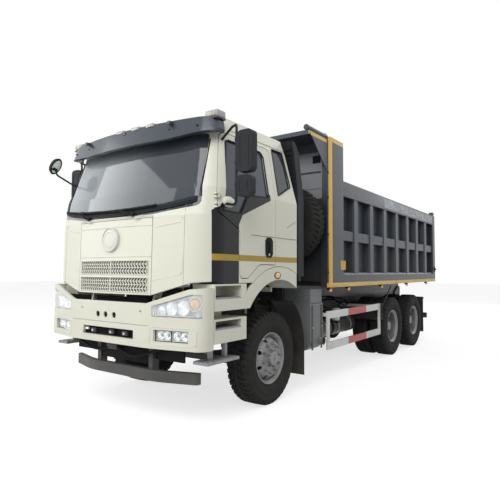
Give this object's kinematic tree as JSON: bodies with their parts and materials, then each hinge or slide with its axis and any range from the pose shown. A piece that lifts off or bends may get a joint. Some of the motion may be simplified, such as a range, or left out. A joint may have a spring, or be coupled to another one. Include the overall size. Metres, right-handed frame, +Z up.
{
  "type": "three axle dump truck",
  "caption": "Cab-over dump truck with tilting cab, steered front wheels, twin rear wheels, tipping ribbed load body, top-hung tailgate and telescopic hoist.",
  "frame": {"origin": "middle of the whole truck's box, on the ground between the wheels", "axes": "-Y ahead, +X to the truck's left, +Z up"},
  "size_m": [3.17, 8.705, 3.5448],
  "materials": {
    "frame_paint": "dark grey frame paint",
    "cab_paint": "cream cab paint",
    "lamp": "clear lamp lens",
    "bar_paint": "grey bar paint",
    "engine_iron": "plain cast iron",
    "tread_metal": "ribbed aluminium",
    "silencer_metal": "grey steel cover",
    "tank_paint": "dark tank paint",
    "guard_paint": "white guard paint with red bands",
    "black_plastic": "black moulded plastic",
    "tyre": "tyre rubber",
    "rim_paint": "silver rim paint",
    "red_lamp": "red lamp lens",
    "glass": "tinted glass",
    "visor_plastic": "dark slate visor",
    "dash_plastic": "dark grained plastic",
    "seat_fabric": "woven seat cloth",
    "bed_paint": "dark slate bed paint",
    "hoist_paint": "dark hoist paint",
    "hoist_steel": "bright hoist steel"
  },
  "bodies": {
    "chassis": {"rail_left": "frame_paint", "rail_right": "frame_paint", "crossmembers": "frame_paint", "tow_beam": "frame_paint", "cab_rest": "frame_paint", "hoist_cradle": "frame_paint", "front_axle": "frame_paint", "leaf_springs": "frame_paint", "rear_axles": "frame_paint", "spare_carrier": "frame_paint", "rear_bar": "frame_paint", "bumper": "cab_paint", "front_fenders": "cab_paint", "step_boxes": "cab_paint", "front_lamps": "lamp", "underrun_bar": "bar_paint", "engine": "engine_iron", "driveline": "engine_iron", "step_treads": "tread_metal", "silencer": "silencer_metal", "tanks": "tank_paint", "side_guards": "guard_paint", "mudguards": "black_plastic", "snorkel": "black_plastic", "spare_tyre": "tyre", "spare_rim": "rim_paint", "tail_lamps": "red_lamp"},
    "knuckle_left": {"knuckle_left": "frame_paint"},
    "wheel_front_left": {"tyre_front_left": "tyre", "rim_front_left": "rim_paint"},
    "wheels_rear_1_left": {"tyres_rear_1_left": "tyre", "rims_rear_1_left": "rim_paint"},
    "wheels_rear_2_left": {"tyres_rear_2_left": "tyre", "rims_rear_2_left": "rim_paint"},
    "knuckle_right": {"knuckle_right": "frame_paint"},
    "wheel_front_right": {"tyre_front_right": "tyre", "rim_front_right": "rim_paint"},
    "wheels_rear_1_right": {"tyres_rear_1_right": "tyre", "rims_rear_1_right": "rim_paint"},
    "wheels_rear_2_right": {"tyres_rear_2_right": "tyre", "rims_rear_2_right": "rim_paint"},
    "cab": {"cab_shell": "cab_paint", "cab_glass": "glass", "sun_visor": "visor_plastic", "dashboard": "dash_plastic", "seats": "seat_fabric"},
    "steering_wheel": {"steering_wheel": "dash_plastic"},
    "front_lid": {"front_lid": "cab_paint"},
    "door_left": {"door_left": "cab_paint", "door_glass_left": "glass", "mirror_left": "black_plastic"},
    "door_right": {"door_right": "cab_paint", "door_glass_right": "glass", "mirror_right": "black_plastic"},
    "bed": {"bed_body": "bed_paint"},
    "tailgate": {"tailgate": "bed_paint"},
    "hoist_barrel": {"hoist_barrel": "hoist_paint"},
    "hoist_stage_1": {"hoist_stage_1": "hoist_steel"},
    "hoist_stage_2": {"hoist_stage_2": "hoist_steel"},
    "hoist_stage_3": {"hoist_stage_3": "hoist_steel"}
  },
  "joints": [
    {"name": "steer_left", "type": "hinge", "parent": "chassis", "child": "knuckle_left", "pos_m": [0.87, -2.8725, 0.54], "axis": [0, 0, 1], "range_deg": [-36, 36]},
    {"name": "spin_front_left", "type": "hinge", "parent": "knuckle_left", "child": "wheel_front_left", "pos_m": [1, -2.8725, 0.54], "axis": [1, 0, 0], "continuous": true},
    {"name": "spin_rear_1_left", "type": "hinge", "parent": "chassis", "child": "wheels_rear_1_left", "pos_m": [0.92, 1.2275, 0.54], "axis": [1, 0, 0], "continuous": true},
    {"name": "spin_rear_2_left", "type": "hinge", "parent": "chassis", "child": "wheels_rear_2_left", "pos_m": [0.92, 2.5775, 0.54], "axis": [1, 0, 0], "continuous": true},
    {"name": "steer_right", "type": "hinge", "parent": "chassis", "child": "knuckle_right", "pos_m": [-0.87, -2.8725, 0.54], "axis": [0, 0, 1], "range_deg": [-36, 36]},
    {"name": "spin_front_right", "type": "hinge", "parent": "knuckle_right", "child": "wheel_front_right", "pos_m": [-1, -2.8725, 0.54], "axis": [1, 0, 0], "continuous": true},
    {"name": "spin_rear_1_right", "type": "hinge", "parent": "chassis", "child": "wheels_rear_1_right", "pos_m": [-0.92, 1.2275, 0.54], "axis": [1, 0, 0], "continuous": true},
    {"name": "spin_rear_2_right", "type": "hinge", "parent": "chassis", "child": "wheels_rear_2_right", "pos_m": [-0.92, 2.5775, 0.54], "axis": [1, 0, 0], "continuous": true},
    {"name": "cab_tilt", "type": "hinge", "parent": "chassis", "child": "cab", "pos_m": [0, -4.1825, 1.095], "axis": [1, 0, 0], "range_deg": [0, 50]},
    {"name": "steering_turn", "type": "hinge", "parent": "cab", "child": "steering_wheel", "pos_m": [0.56, -3.6725, 2.18], "axis": [0, -0.5632, -0.8263], "range_deg": [-540, 540]},
    {"name": "lid_open", "type": "hinge", "parent": "cab", "child": "front_lid", "pos_m": [0, -4.3165, 2.108], "axis": [-1, 0, 0], "range_deg": [0, 70]},
    {"name": "door_left_open", "type": "hinge", "parent": "cab", "child": "door_left", "pos_m": [1.24, -3.9945, 2.2], "axis": [0, 0, -1], "range_deg": [0, 70]},
    {"name": "door_right_open", "type": "hinge", "parent": "cab", "child": "door_right", "pos_m": [-1.24, -3.9945, 2.2], "axis": [0, 0, 1], "range_deg": [0, 70]},
    {"name": "bed_tilt", "type": "hinge", "parent": "chassis", "child": "bed", "pos_m": [0, 3.8775, 1.16], "axis": [-1, 0, 0], "range_deg": [0, 45]},
    {"name": "tailgate_open", "type": "hinge", "parent": "bed", "child": "tailgate", "pos_m": [0, 4.3095, 2.985], "axis": [1, 0, 0], "range_deg": [0, 85]},
    {"name": "hoist_lean", "type": "hinge", "parent": "chassis", "child": "hoist_barrel", "pos_m": [0, -1.9725, 0.78], "axis": [-1, 0, 0], "range_deg": [0, 25.6]},
    {"name": "hoist_slide_1", "type": "slide", "parent": "hoist_barrel", "child": "hoist_stage_1", "axis": [0, 0, 1], "range_m": [0, 1.456]},
    {"name": "hoist_slide_2", "type": "slide", "parent": "hoist_stage_1", "child": "hoist_stage_2", "axis": [0, 0, 1], "range_m": [0, 1.456]},
    {"name": "hoist_slide_3", "type": "slide", "parent": "hoist_stage_2", "child": "hoist_stage_3", "axis": [0, 0, 1], "range_m": [0, 1.456]}
  ],
  "couplings": [
    {"joint": "steer_right", "follows": "steer_left", "ratio": 1},
    {"joint": "steering_turn", "follows": "steer_left", "ratio": -15},
    {"joint": "hoist_lean", "follows": "bed_tilt", "ratio": 0.5666},
    {"joint": "hoist_slide_1", "follows": "bed_tilt", "m_per_rad": 1.853},
    {"joint": "hoist_slide_2", "follows": "bed_tilt", "m_per_rad": 1.853},
    {"joint": "hoist_slide_3", "follows": "bed_tilt", "m_per_rad": 1.853}
  ]
}
